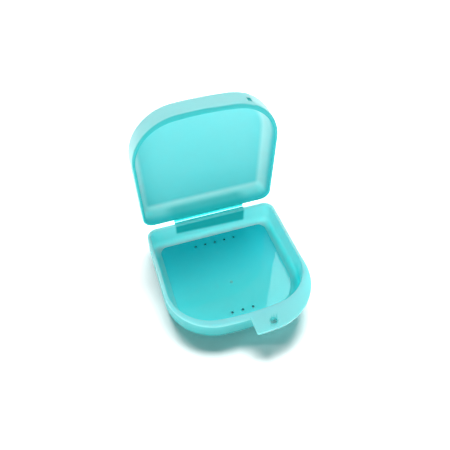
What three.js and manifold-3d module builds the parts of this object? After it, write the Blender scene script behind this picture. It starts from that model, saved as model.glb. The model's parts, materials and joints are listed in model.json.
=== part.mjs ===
// Retainer case: a D-shaped tray and a lid of the same outline, joined by a living hinge, with the lid standing open.
// Millimetres, +Z up, +Y towards the hinge, +X to the right. The origin is the middle of the flat foot under the tray.
import * as THREE from "three";
import { mergeVertices } from "three/addons/utils/BufferGeometryUtils.js";
import Module from "manifold-3d";

const wasm = await Module();
wasm.setup();

// Rim outline, the same on the tray and the lid
const rimWidth = 77.8; // across the rim, halfway between hinge and front
const rimDepth = 71.9; // from the hinge edge to the front edge
const sideFlare = THREE.MathUtils.degToRad(0.5); // each side leans out towards the front
const hingeCornerRadius = 6.1;
const frontCornerRadius = 26.7;
const frontBowRadius = 215;

// Mouth, the opening inside the rim face
const rimSideLand = 1.8; // width of the rim face at the sides and the hinge edge
const rimFrontLand = 3.3; // and at the front
const mouthCornerRadius = 23.7;
const mouthBowRadius = 145;

// Tray
const trayHeight = 15;
const trayWall = 1.3; // below the rim band
const trayFloor = 1.5;
const trayBandHeight = 10.6; // rim band, which stands out from the tray's foot at the front
const footRadius = 4.5; // round edge under the tray
const trayFilletRadius = 2.9; // floor to wall, inside

// Tab on the right half of the tray's front, with its cord hole
const tabReach = 9.4;
const tabLeft = 1.1; // how far its square end lies left of the centre line
const tabThickness = 1.4;
const tabCornerRadius = 1; // its free corner
const tabSideRadius = 31.3; // where it runs into the side of the rim
const cordHoleRadius = 1.6;
const cordHoleRight = 9.2; // from the centre line
const cordHoleIn = 4.6; // from the tab's front edge

// Vents in the tray's floor, one row near the hinge and one near the front
const ventRadius = 0.7;
const ventPitch = 5.95;
const hingeVentCount = 5;
const hingeVentIn = 9.7; // from the rim's hinge edge
const frontVentCount = 3;
const frontVentIn = 13.2; // from the rim's front edge

// Gate mark on the tray's floor
const gateRadius = 0.9;
const gateHeight = 0.25;
const gateIn = 40; // from the rim's hinge edge

// Lid
const lidHeight = 12.7;
const lidPanel = 1.2;
const crownRadius = 4.8; // round edge on the lid's outside
const lidFilletRadius = 4.8; // panel to wall, inside

// Thumb lip on the right half of the lid's front
const lipReach = 0.35;
const lipHeight = 8.8; // from the lid's rim face
const lipLeft = 3; // left of the centre line
const lipRight = 24; // right of it
const lipRamp = 9; // length over which the lip rises at its left end
const lipDrop = 2; // length over which it falls at its right end
const notchWidth = 1.8;
const notchDepth = 0.9;
const notchLow = 1.6; // from the lid's rim face
const notchHeight = 2.6;
const notchIn = 0.6; // from the lip's right end

// Living hinge
const hingeLength = 42.2;
const hingeStandoff = 0.94; // from the rim's hinge edge to the line that the lid turns about
const filmThickness = 0.4;
const filmGap = 0.3; // between the film and the shells
const closingGap = 0.3; // between the two rim faces when the case is shut
const landThickness = 0.8; // thick land outside the tray's back wall, under the film
const landHeight = 8;
const lidOpenAngle = THREE.MathUtils.degToRad(90);

// Mesh quality and helpers
const overrun = 1; // how far a cut passes a face
const sharpestCorner = 0.2;
const bowSteps = 5; // for half of the front bow
const frontCornerSteps = 12;
const hingeCornerSteps = 5;
const filletSteps = 5;
const holeSides = 16;

const hingeEdgeY = rimDepth / 2;
const frontEdgeY = -rimDepth / 2;
const axisY = hingeEdgeY + hingeStandoff;
const axisZ = trayHeight + closingGap / 2;
const lidRimZ = trayHeight + closingGap;

// The film's bend: a quarter ring from level with the tray's rim face to level with the open lid's
const bendRadius = hingeStandoff - filmGap + closingGap / 2;
const filmLowZ = trayHeight - filmThickness;

const rimOutline = {
  halfWidth: rimWidth / 2,
  hingeY: hingeEdgeY,
  frontY: frontEdgeY,
  hingeRadius: hingeCornerRadius,
  frontRadius: frontCornerRadius,
  bowRadius: frontBowRadius,
};

const mouthOutline = {
  halfWidth: rimWidth / 2 - rimSideLand / Math.cos(sideFlare),
  hingeY: hingeEdgeY - rimSideLand,
  frontY: frontEdgeY + rimFrontLand,
  hingeRadius: Math.max(hingeCornerRadius - rimSideLand, sharpestCorner),
  frontRadius: mouthCornerRadius,
  bowRadius: mouthBowRadius,
};

const tabOutline = { ...rimOutline, frontY: frontEdgeY - tabReach, frontRadius: tabSideRadius };

// The same outline, moved in by a distance, or out by a negative one
function inset(outline, distance) {
  return {
    halfWidth: outline.halfWidth - distance / Math.cos(sideFlare),
    hingeY: outline.hingeY - distance,
    frontY: outline.frontY + distance,
    hingeRadius: Math.max(outline.hingeRadius - distance, sharpestCorner),
    frontRadius: Math.max(outline.frontRadius - distance, sharpestCorner),
    bowRadius: outline.bowRadius - distance,
  };
}

// Centres of the arcs that make up the right half of an outline
function arcCentres(outline) {
  const { halfWidth, hingeY, frontY, hingeRadius, frontRadius, bowRadius } = outline;
  const outward = new THREE.Vector2(Math.cos(sideFlare), Math.sin(sideFlare));
  const along = new THREE.Vector2(-Math.sin(sideFlare), Math.cos(sideFlare));
  const bow = new THREE.Vector2(0, frontY + bowRadius);
  const offset = halfWidth * outward.x - frontRadius;
  const middle = along.dot(bow);
  const spread = (bowRadius - frontRadius) ** 2 - bow.lengthSq() - offset ** 2 + 2 * offset * outward.dot(bow);
  const travel = middle - Math.sqrt(middle ** 2 + spread);
  const front = outward.clone().multiplyScalar(offset).addScaledVector(along, travel);
  const hingeCentreY = hingeY - hingeRadius;
  const hingeCentreX = (halfWidth * outward.x - hingeRadius - outward.y * hingeCentreY) / outward.x;
  return { bow, front, hinge: new THREE.Vector2(hingeCentreX, hingeCentreY) };
}

function arcPoints(centre, radius, from, to, steps) {
  return Array.from({ length: steps + 1 }, (_, i) => {
    const angle = THREE.MathUtils.lerp(from, to, i / steps);
    return new THREE.Vector2(centre.x + radius * Math.cos(angle), centre.y + radius * Math.sin(angle));
  });
}

// Right half of an outline as its three arcs, from the middle of the front to the hinge edge
function halfArcs(outline) {
  const { bow, front, hinge } = arcCentres(outline);
  const turn = Math.atan2(front.y - bow.y, front.x - bow.x);
  return {
    bow: arcPoints(bow, outline.bowRadius, -Math.PI / 2, turn, bowSteps),
    front: arcPoints(front, outline.frontRadius, turn, sideFlare, frontCornerSteps),
    hinge: arcPoints(hinge, outline.hingeRadius, sideFlare, Math.PI / 2, hingeCornerSteps),
  };
}

// How much of its reach the thumb lip has at a distance right of the centre line
function lipRise(x) {
  const { smoothstep } = THREE.MathUtils;
  return smoothstep(x, -lipLeft, lipRamp - lipLeft) * (1 - smoothstep(x, lipRight, lipRight + lipDrop));
}

// Moves the points of an outline's front outwards where the thumb lip is
function withLip(points, outline) {
  return points.map((point) => {
    if (point.y > 0) return point;
    const { outward } = frontPoint(outline, point.x);
    return point.clone().addScaledVector(outward, lipReach * lipRise(point.x));
  });
}

// Whole outline, anticlockwise from above, starting at the middle of the front
function outlinePoints(outline) {
  const arcs = halfArcs(outline);
  const right = [...arcs.bow, ...arcs.front.slice(1), ...arcs.hinge];
  const left = right.slice(1).reverse().map((point) => new THREE.Vector2(-point.x, point.y));
  return outline.lip ? withLip([...right, ...left], outline) : [...right, ...left];
}

// Point of the outline's front at a distance right of the centre line, and the direction outwards there
function frontPoint(outline, x) {
  const { bow, front } = arcCentres(outline);
  const onBow = x <= (front.x * outline.bowRadius) / (outline.bowRadius - outline.frontRadius);
  const centre = onBow ? bow : front;
  const radius = onBow ? outline.bowRadius : outline.frontRadius;
  const point = new THREE.Vector2(x, centre.y - Math.sqrt(radius ** 2 - (x - centre.x) ** 2));
  return { point, outward: point.clone().sub(centre).normalize() };
}

// Closed body through a stack of outlines, each at its height, from the lowest to the highest
function loft(levels) {
  const rings = levels.map(({ outline, z }) => outlinePoints(outline).map((p) => [p.x, p.y, z]));
  const count = rings[0].length;
  const positions = rings.flat(2);
  const index = [];
  for (let level = 0; level + 1 < rings.length; level++) {
    for (let i = 0; i < count; i++) {
      const a = level * count + i;
      const b = level * count + ((i + 1) % count);
      index.push(a, b, b + count, a, b + count, a + count);
    }
  }
  const last = (rings.length - 1) * count;
  const bottomMiddle = positions.length / 3;
  positions.push(0, 0, levels[0].z, 0, 0, levels[levels.length - 1].z);
  for (let i = 0; i < count; i++) {
    const next = (i + 1) % count;
    index.push(bottomMiddle, next, i, bottomMiddle + 1, last + i, last + next);
  }
  const geometry = new THREE.BufferGeometry();
  geometry.setAttribute("position", new THREE.Float32BufferAttribute(positions, 3));
  geometry.setIndex(index);
  return geometry;
}

// Levels of a round edge that starts flat at one height and ends square to it, a radius further along
function roundEdge(outline, radius, flatZ, direction) {
  return Array.from({ length: filletSteps + 1 }, (_, i) => {
    const angle = (Math.PI / 2) * (i / filletSteps);
    const distance = radius * (1 - Math.sin(angle));
    return { outline: inset(outline, distance), z: flatZ + direction * radius * (1 - Math.cos(angle)) };
  });
}

// Triangles with three different corners: where two outlines of a loft coincide, those between them have no area
function wholeTriangles(index) {
  const kept = [];
  for (let i = 0; i < index.length; i += 3) {
    const corners = index.slice(i, i + 3);
    if (new Set(corners).size === 3) kept.push(...corners);
  }
  return new Uint32Array(kept);
}

function solidOf(geometry) {
  const bare = geometry.clone();
  bare.deleteAttribute("normal");
  bare.deleteAttribute("uv");
  const merged = mergeVertices(bare);
  const vertProperties = new Float32Array(merged.attributes.position.array);
  const triVerts = wholeTriangles(merged.index.array);
  return new wasm.Manifold(new wasm.Mesh({ numProp: 3, vertProperties, triVerts }));
}

function geometryOf(solid) {
  const mesh = solid.getMesh();
  const geometry = new THREE.BufferGeometry();
  geometry.setAttribute("position", new THREE.BufferAttribute(new Float32Array(mesh.vertProperties), 3));
  geometry.setIndex(new THREE.BufferAttribute(new Uint32Array(mesh.triVerts), 1));
  geometry.computeVertexNormals();
  return geometry;
}

// Plate of a flat shape between two heights
function plate(points, lowZ, highZ) {
  const shape = new THREE.Shape(points);
  const geometry = new THREE.ExtrudeGeometry(shape, { depth: highZ - lowZ, bevelEnabled: false });
  return solidOf(geometry.translate(0, 0, lowZ));
}

// Upright round pin between two heights
function pin(x, y, radius, lowZ, highZ) {
  const geometry = new THREE.CylinderGeometry(radius, radius, highZ - lowZ, holeSides);
  return solidOf(geometry.rotateX(Math.PI / 2).translate(x, y, (lowZ + highZ) / 2));
}

function block(low, high) {
  const size = high.clone().sub(low);
  const middle = high.clone().add(low).divideScalar(2);
  return solidOf(new THREE.BoxGeometry(size.x, size.y, size.z).translate(middle.x, middle.y, middle.z));
}

function trayOutside() {
  const foot = inset(mouthOutline, -trayWall);
  const bandZ = trayHeight - trayBandHeight;
  return solidOf(loft([
    ...roundEdge(foot, footRadius, 0, 1),
    { outline: foot, z: bandZ },
    { outline: rimOutline, z: bandZ },
    { outline: rimOutline, z: trayHeight },
  ]));
}

function trayHollow() {
  return solidOf(loft([
    ...roundEdge(mouthOutline, trayFilletRadius, trayFloor, 1),
    { outline: mouthOutline, z: trayHeight + overrun },
  ]));
}

function tabPlate() {
  const arcs = halfArcs(tabOutline);
  const frontY = frontPoint(tabOutline, 0).point.y;
  const roundCentre = new THREE.Vector2(tabCornerRadius - tabLeft, frontY + tabCornerRadius);
  const points = [
    ...arcPoints(roundCentre, tabCornerRadius, Math.PI, Math.PI * 1.5, filletSteps),
    ...arcs.bow.slice(1),
    ...arcs.front.slice(1),
    halfArcs(rimOutline).front.at(-1),
    new THREE.Vector2(-tabLeft, frontEdgeY + rimFrontLand / 2),
  ];
  return plate(points, trayHeight - tabThickness, trayHeight);
}

// Thick land under the film, as long as the film and clear of it
function hingeLand() {
  const topZ = filmLowZ - filmGap;
  const low = new THREE.Vector3(-hingeLength / 2, hingeEdgeY - rimSideLand / 2, topZ - landHeight);
  return block(low, new THREE.Vector3(hingeLength / 2, hingeEdgeY + landThickness, topZ));
}

function ventRow(count, y) {
  return Array.from({ length: count }, (_, i) => {
    return pin((i - (count - 1) / 2) * ventPitch, y, ventRadius, -overrun, trayFloor + overrun);
  });
}

function buildTray() {
  const cordHoleY = tabOutline.frontY + cordHoleIn;
  const gateY = hingeEdgeY - gateIn;
  const cuts = [
    trayHollow(),
    pin(cordHoleRight, cordHoleY, cordHoleRadius, trayHeight - tabThickness - overrun, trayHeight + overrun),
    ...ventRow(hingeVentCount, hingeEdgeY - hingeVentIn),
    ...ventRow(frontVentCount, frontEdgeY + frontVentIn),
  ];
  const outside = trayOutside().add(tabPlate()).add(hingeLand());
  const shell = cuts.reduce((solid, cut) => solid.subtract(cut), outside);
  return shell.add(pin(0, gateY, gateRadius, trayFloor / 2, trayFloor + gateHeight));
}

// Lid, built shut over the tray: its outside at a height above the rim face
function lidLevel(height, lip) {
  const intoCrown = THREE.MathUtils.clamp(height - lidHeight + crownRadius, 0, crownRadius);
  const distance = crownRadius - Math.sqrt(crownRadius ** 2 - intoCrown ** 2);
  return { outline: { ...inset(rimOutline, distance), lip }, z: lidRimZ + height };
}

// The thumb lip is part of the lower levels, and ends in a ledge at its height
function lidOutside() {
  const crownHeights = Array.from({ length: filletSteps + 1 }, (_, i) => {
    return lidHeight - crownRadius * (1 - Math.sin((Math.PI / 2) * (i / filletSteps)));
  });
  const belowLedge = [0, ...crownHeights.filter((height) => height < lipHeight), lipHeight];
  const aboveLedge = [lipHeight, ...crownHeights.filter((height) => height > lipHeight)];
  return solidOf(loft([
    ...belowLedge.map((height) => lidLevel(height, true)),
    ...aboveLedge.map((height) => lidLevel(height, false)),
  ]));
}

function lidHollow() {
  const fillet = roundEdge(mouthOutline, lidFilletRadius, lidRimZ + lidHeight - lidPanel, -1).reverse();
  return solidOf(loft([{ outline: mouthOutline, z: lidRimZ - overrun }, ...fillet]));
}

function lipNotch() {
  const right = lipRight - notchIn;
  const { point, outward } = frontPoint(rimOutline, right - notchWidth / 2);
  const bottom = point.clone().addScaledVector(outward, lipReach - notchDepth);
  const low = new THREE.Vector3(right - notchWidth, point.y - overrun - lipReach, lidRimZ + notchLow);
  return block(low, new THREE.Vector3(right, bottom.y, lidRimZ + notchLow + notchHeight));
}

function buildLid() {
  return lidOutside().subtract(lidHollow()).subtract(lipNotch());
}

// Film from the back of the tray round to the back of the open lid
function hingeFilm() {
  const centre = new THREE.Vector2(hingeEdgeY + filmGap, trayHeight + bendRadius);
  const outer = arcPoints(centre, bendRadius + filmThickness, -Math.PI / 2, 0, filletSteps);
  const inner = arcPoints(centre, bendRadius, 0, -Math.PI / 2, filletSteps);
  const section = new THREE.Shape([...outer, ...inner]);
  const geometry = new THREE.ExtrudeGeometry(section, { depth: hingeLength, bevelEnabled: false });
  // The section's plane becomes YZ, and its depth runs along X
  const turn = new THREE.Matrix4().makeBasis(
    new THREE.Vector3(0, 1, 0),
    new THREE.Vector3(0, 0, 1),
    new THREE.Vector3(1, 0, 0),
  );
  return geometry.applyMatrix4(turn).translate(-hingeLength / 2, 0, 0);
}

function plastic(color, roughness) {
  return new THREE.MeshStandardMaterial({ color, roughness, metalness: 0 });
}

const shellPlastic = plastic(0x5fd0d2, 0.35);
const filmPlastic = plastic(0xb4e6df, 0.45);

function named(name, geometry, material) {
  const mesh = new THREE.Mesh(geometry, material);
  mesh.name = name;
  return mesh;
}

const retainerCase = new THREE.Group();
retainerCase.add(named("base_tray", geometryOf(buildTray()), shellPlastic));
retainerCase.add(named("living_hinge", hingeFilm(), filmPlastic));

const lidPivot = new THREE.Group();
lidPivot.position.set(0, axisY, axisZ);
lidPivot.rotation.x = -lidOpenAngle;
const lid = named("lid_cover", geometryOf(buildLid()), shellPlastic);
lid.position.set(0, -axisY, -axisZ);
lidPivot.add(lid);
retainerCase.add(lidPivot);

export default retainerCase;
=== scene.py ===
"""Retainer case of translucent aqua plastic: a D-shaped tray, a domed lid and the living hinge between them.

Metres, +Z up, +Y towards the hinge, +X to the right. The case stands on its flat foot with the lid open.
"""
import json
import math
from dataclasses import dataclass

import bpy
import numpy as np
from bpy.props import FloatProperty, FloatVectorProperty, IntProperty, PointerProperty
from mathutils import Matrix, Vector


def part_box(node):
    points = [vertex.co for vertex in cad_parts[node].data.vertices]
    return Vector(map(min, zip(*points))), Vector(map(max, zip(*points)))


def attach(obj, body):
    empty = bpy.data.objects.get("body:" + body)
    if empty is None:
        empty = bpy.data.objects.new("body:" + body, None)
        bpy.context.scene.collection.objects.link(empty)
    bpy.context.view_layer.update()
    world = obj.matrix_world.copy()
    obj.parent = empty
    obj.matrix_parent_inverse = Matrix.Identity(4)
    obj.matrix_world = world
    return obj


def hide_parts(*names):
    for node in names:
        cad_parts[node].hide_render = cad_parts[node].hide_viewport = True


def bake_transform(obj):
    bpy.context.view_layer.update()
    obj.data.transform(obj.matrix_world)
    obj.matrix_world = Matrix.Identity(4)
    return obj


bl_info = {
    "name": "Retainer Case",
    "version": (1, 0, 0),
    "blender": (4, 5, 0),
    "location": "3D View > Sidebar > Retainer Case",
    "description": "Builds a retainer case with its tray, lid, living hinge and stage",
    "category": "Add Mesh",
}

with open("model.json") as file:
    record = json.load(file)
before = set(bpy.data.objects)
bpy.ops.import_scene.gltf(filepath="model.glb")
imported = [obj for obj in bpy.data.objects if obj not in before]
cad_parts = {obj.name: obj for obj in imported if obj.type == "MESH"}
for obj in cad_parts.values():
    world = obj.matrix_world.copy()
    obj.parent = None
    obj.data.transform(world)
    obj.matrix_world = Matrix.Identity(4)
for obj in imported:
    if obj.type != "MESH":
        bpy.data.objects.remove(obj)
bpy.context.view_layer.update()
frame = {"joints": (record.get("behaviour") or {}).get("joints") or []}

MM = 0.001
AXIS_Y, AXIS_Z = frame["joints"][0]["pos_m"][1:]
TRAY_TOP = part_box("base_tray")[1][2]
HINGE_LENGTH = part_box("living_hinge")[1][0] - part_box("living_hinge")[0][0]
LID_RIM_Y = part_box("lid_cover")[0][1]


def span(start, end):
    """Two places given in millimetres."""
    return start * MM, end * MM


# How finely the outlines and the round edges are divided
BOW_STEPS, CORNER_STEPS, SIDE_STEPS, HINGE_CORNER_STEPS, BACK_STEPS = 14, 44, 8, 12, 12
TAB_FILLET_STEPS, TAB_END_STEPS, TAB_CORNER_STEPS, TAB_FADE_STEPS = 5, 4, 6, 5
EDGE_STEPS, FILLET_STEPS, CROWN_STEPS, BEND_STEPS, FILM_STEPS, BEVEL_STEPS = 5, 12, 16, 16, 24, 3
CORD_HOLE_SIDES, GATE_SIDES, VENT_SIDES, VENT_LEVELS = 40, 24, 20, 33

SHARP_ANGLE = math.radians(34)
SMALLEST_CORNER = 0.2 * MM
STRIP = 0.05 * MM  # narrow faces beside a crisp edge
FLAT_EDGE = 0.5 * MM  # faces round a large flat one
TAB_NARROWING = 4 * MM  # where the rim's round edge narrows to the tab's
BEND_BEHIND = 0.3 * MM  # from the back edge to the centre of the film's bend
NOTCH_ROUND, NOTCH_CLEARANCE = span(0.3, 3)
GATE_EDGE = 0.8  # share of the gate mark's height that is round

# Shares of the way at which rings cross the rim's face and the inner wall
FACE_SHARES = (0, 0.33, 0.67, 1)
WALL_SHARES = (0.04, 0.5, 0.96)

# The floor's edge: shares of the witness step inwards and down
WITNESS_EDGE = ((0.3, 0.3), (0.8, 0.9), (1.2, 1))

# The lip's ledge: millimetres above it, and the share of the lip's reach that is left there
LEDGE = ((-0.3, 1), (-0.22, 0.98), (-0.14, 0.9), (-0.08, 0.7), (-0.03, 0.4), (0.04, 0.12), (0.15, 0.02))
LIP_HEIGHTS = span(2.5, 4)
BELOW_LEDGE, ABOVE_LEDGE = span(0.35, 0.2)

VENT_INPUTS = (("Count", "Int"), ("Pitch", "Float"), ("Row", "Float"), ("Radius", "Float"),
               ("Edge", "Float"), ("Floor", "Float"), ("Material", "Material"))

# Where the painted shade and light on the plastic fade: the place where a tint is nothing, then the one
# where it is full
# Painted shade on the tray's band outside, below the rim's edge
BAND_Z = span(14.6, 12.4)
# Painted shade at the foot of the inner wall: low along it, higher round the front corners
FOOT_Z, FOOT_Y = span(5, 2.4), span(32, 25)
CORNER_Z, CORNER_Y = span(11, 4), span(-2, -16)
# Painted shade on the tray's rim face and tab, which face the overhead light
FACE_Z, FACE_Y = span(13.6, 14.6), span(5, -20)
# Painted shade on the back wall behind the hinge land
LAND_SIDE, LAND_Y = span(21.8, 20.2), span(32.5, 33.5)
LAND_FOOT, LAND_TOP = span(5.4, 8), span(13.4, 14.4)
# Painted highlight along the floor's edge, short of the corners
WITNESS_SIDE = span(31, 29)
# Painted shade on the polished floor, from the front to the hinge
FLOOR_Y = span(-14, 30)
LID_BACK, LID_FACE_Y = span(49.5, 48.7), span(37.5, 37.1)
# Painted light on the fillets round the lid's panel
LID_FILLET_FROM, LID_FILLET_TO = span(38, 45), span(49, 47.6)
# Painted shade on the lid's wall at the hinge, strongest in the middle
LID_WALL_Z, LID_WALL_SIDE = span(20, 17.5), span(27, 18)
# Painted shade in the notch at the lip's right end
NOTCH_Z = span(84, 85)
LAND_SLOPE = 0.05

# Lines and patches between two places, and how softly they end: the witness line is a painted highlight, the
# notch patch painted shade
WITNESS_Y, WITNESS_Z = span(31, 31.6), span(1.3, 1.75)
FLEX_Y = span(36.4, 36.7)
NOTCH_X, NOTCH_Y = span(21.6, 23.4), span(38.6, 41.2)
LINE_FADE, NOTCH_FADE = span(0.1, 0.4)

# How strong the painted shade is
BAND_SHARE, FOOT_SHADE_SHARE, CORNER_SHADE_SHARE, LAND_TOP_SHARE = 0.8, 0.66, 0.85, 0.4
LID_WALL_SHADE_SHARE, LID_FACE_SHADE_SHARE, NOTCH_SHADE_SHARE = 0.4, 0.65, 0.7

# Finish of the plastic: soft clouds in its colour, and the fine grain of the mould
CLOUDS = {"Scale": 45.0, "Detail": 3.0}
CLOUD_PALE = 1.06
CLOUD_ROUGHNESS = 0.1
GRAIN = {"Scale": 2600.0, "Detail": 2.0}
GRAIN_STRENGTH = 0.12
GRAIN_DEPTH = 0.05 * MM
LIGHT_REACH = (0.35, 1.0, 1.0)
PLASTIC_IOR = 1.49
PLASTIC_SHINE = 0.3

# Stage
BLACK, WHITE = (0, 0, 0), (1, 1, 1)
CASE_COLLECTION = "case"
FLOOR_COLLECTION = "floor"
FLOOR_ROUGHNESS = 0.9
FLOOR_SHINE = 0.1
# Painted light on the floor in front of the case: where the teal glow is centred, and where it fades
SHADE_PLACE = (0, -30 * MM, 0)
SHADE_FADE = span(58, 32)
FAR_FADE = span(300, 1500)

# Soft boxes: place, a point that each faces, width and height
KEY_BOX = (0.46865, 0.37065, 0.9), (-0.02681, -0.49798, 0.9), 0.4, 0.6
TOP_BOX = (0.1, 0.35, 1.96), (0, 0, 0), 2.2, 2.2
FILL_BOX = (-0.46, -0.88, 0.36), (0, 0, 0), 1.2, 0.6
FLOOR_BOX = (0.36, 1.06, 1.5), (0, 0, 0), 1.5, 1

CAMERA_PLACE = (-51.9 * MM, -138.3 * MM, 217.4 * MM)
CAMERA_TILT = math.radians(37.32)
CAMERA_HEADING = math.radians(-18.3)
CAMERA_LENS = 36.89
CAMERA_SHIFT = (0.014, 0.0606)
CAMERA_NEAR = 10 * MM


def quarter_round(steps):
    """Points of a round edge: shares of its radius that are left to one face and gone from the other."""
    return [(1 - math.sin(a), 1 - math.cos(a)) for a in np.linspace(0, math.pi / 2, steps + 1)]


EDGE = quarter_round(EDGE_STEPS)
FILLET = quarter_round(FILLET_STEPS)


def length(name, millimetres, description):
    return FloatProperty(name=name, description=description, default=millimetres * MM,
                         unit="LENGTH", precision=5)


def angle(name, degrees, description):
    return FloatProperty(name=name, description=description, default=math.radians(degrees),
                         subtype="ANGLE")


def amount(name, default, description):
    return FloatProperty(name=name, description=description, default=default)


def count(name, default, description):
    return IntProperty(name=name, description=description, default=default, min=1)


def linear(display):
    """Linear value of one display value between 0 and 255."""
    share = display / 255
    return share / 12.92 if share <= 0.04045 else ((share + 0.055) / 1.055) ** 2.4


def color(name, red, green, blue, description):
    default = [linear(value) for value in (red, green, blue)]
    return FloatVectorProperty(name=name, description=description, default=default, subtype="COLOR",
                               min=0, max=1)


class RimSizes(bpy.types.PropertyGroup):
    """The outline that the tray and the lid share, and the mouth inside it."""

    width: length("Width", 77.8, "Across the rim, halfway between hinge and front")
    depth: length("Depth", 71.9, "From the hinge edge to the front edge")
    flare: angle("Side flare", 0.5, "Lean of each side, out towards the front")
    hinge_corner: length("Hinge corner", 6.1, "Radius of the two corners at the hinge")
    front_corner: length("Front corner", 26.7, "Radius of the two corners at the front")
    front_bow: length("Front bow", 215, "Radius of the front between its corners")
    side_land: length("Side land", 1.8, "Width of the rim face at the sides and the hinge")
    front_land: length("Front land", 3.3, "Width of the rim face at the front")
    mouth_corner: length("Mouth corner", 23.7, "Radius of the mouth's front corners")
    mouth_bow: length("Mouth bow", 145, "Radius of the mouth's front")
    mouth_round: length("Mouth edge", 0.5, "Round edge of the rim face at the inner wall")


class TraySizes(bpy.types.PropertyGroup):
    """The tray with its rim band, tab, cord hole and vents."""

    wall: length("Wall", 1.3, "Thickness of the wall below the rim band")
    floor: length("Floor", 1.5, "Thickness of the floor")
    band: length("Band", 10.6, "Height of the rim band")
    band_round: length("Band edge", 0.5, "Round lower edge of the rim band")
    foot_round: length("Foot edge", 4.5, "Round edge under the tray")
    fillet: length("Fillet", 2.9, "From the floor to the inner wall at the hinge")
    side_fillet: length("Side fillet", 4.2, "The same at the sides and the front")
    floor_corner: length("Floor corner", 4.6, "Radius of the floor's two corners at the hinge")
    witness: length("Witness step", 0.12, "From the fillet's end down to the floor")
    rim_round: length("Rim edge", 0.6, "Round outer edge of the rim face")
    tab_reach: length("Tab reach", 9.4, "From the front to the tab's edge")
    tab_left: length("Tab left", 1.1, "Left of the middle, to the tab's square end")
    tab_thickness: length("Tab thickness", 1.4, "Thickness of the tab")
    tab_corner: length("Tab corner", 1, "Radius of the tab's free corner")
    tab_side: length("Tab side", 31.3, "Radius where the tab runs into the side of the rim")
    tab_fillet: length("Tab fillet", 0.6, "Radius where the tab's end meets the band")
    tab_round: length("Tab edge", 0.35, "Round edges of the tab")
    hole_radius: length("Cord hole", 1.6, "Radius of the cord hole")
    hole_right: length("Cord hole right", 9.2, "Right of the middle, to the cord hole")
    hole_in: length("Cord hole in", 4.6, "From the tab's edge in to the cord hole")
    hole_round: length("Cord hole edge", 0.3, "Round edge of the cord hole")
    gate_radius: length("Gate mark", 0.9, "Radius of the gate mark on the floor")
    gate_height: length("Gate height", 0.25, "Height of the gate mark")
    gate_in: length("Gate in", 40, "From the hinge edge in to the gate mark")


class VentSizes(bpy.types.PropertyGroup):
    """The two rows of vents in the tray's floor."""

    radius: length("Radius", 0.6, "Radius of a vent")
    edge: length("Edge", 0.12, "Round edge of a vent")
    pitch: length("Pitch", 5.95, "From one vent to the next")
    hinge_count: count("At the hinge", 5, "Vents in the row near the hinge")
    hinge_in: length("Hinge row", 9.7, "From the hinge edge to the row near it")
    front_count: count("At the front", 3, "Vents in the row near the front")
    front_in: length("Front row", 13.2, "From the front edge to the row near it")


class LidSizes(bpy.types.PropertyGroup):
    """The lid with its thumb lip and notch."""

    height: length("Height", 12.7, "From the rim face to the top of the dome")
    panel: length("Panel", 1.2, "Thickness of the panel")
    crown: length("Crown", 4.8, "Round edge on the outside")
    fillet: length("Fillet", 4.8, "From the panel to the inner wall")
    rim_round: length("Rim edge", 0.85, "Round outer edge of the rim face")
    lead_in_width: length("Lead-in width", 2.3, "Wider round rim edge under the thumb lip")
    lead_in_height: length("Lead-in height", 1.5, "Height of the same rounding")
    lip_reach: length("Lip reach", 0.35, "From the dome out to the lip")
    lip_height: length("Lip height", 8.8, "From the rim face to the lip's ledge")
    lip_left: length("Lip left", 3, "Left of the middle, to the lip's start")
    lip_right: length("Lip right", 24, "Right of the middle, to its end")
    lip_ramp: length("Lip ramp", 9, "Length over which it rises at its left end")
    lip_drop: length("Lip drop", 2, "Length over which it falls at its right end")
    notch_width: length("Notch width", 1.8, "Width of the notch at the lip's right end")
    notch_depth: length("Notch depth", 0.9, "Depth of the notch")
    notch_low: length("Notch foot", 1.6, "From the rim face to the notch's lower end")
    notch_high: length("Notch head", 4.2, "From the rim face to its upper end")
    notch_right: length("Notch right", 23.4, "Right of the middle, to the notch's far side")


class HingeSizes(bpy.types.PropertyGroup):
    """The living hinge and the thick land below it."""

    film: length("Film", 0.4, "Thickness of the film at its ends")
    flex: length("Flex line", 0.28, "Thickness in the middle, where it bends")
    root: length("Root", 0.35, "Length of its ends in the walls")
    land: length("Land", 0.8, "From the back wall out to the land")
    land_height: length("Land height", 8, "Height of the land")
    land_drop: length("Land drop", 0.7, "From the rim face to the land's top")
    land_round: length("Land edge", 0.3, "Round edges of the land")


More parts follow.
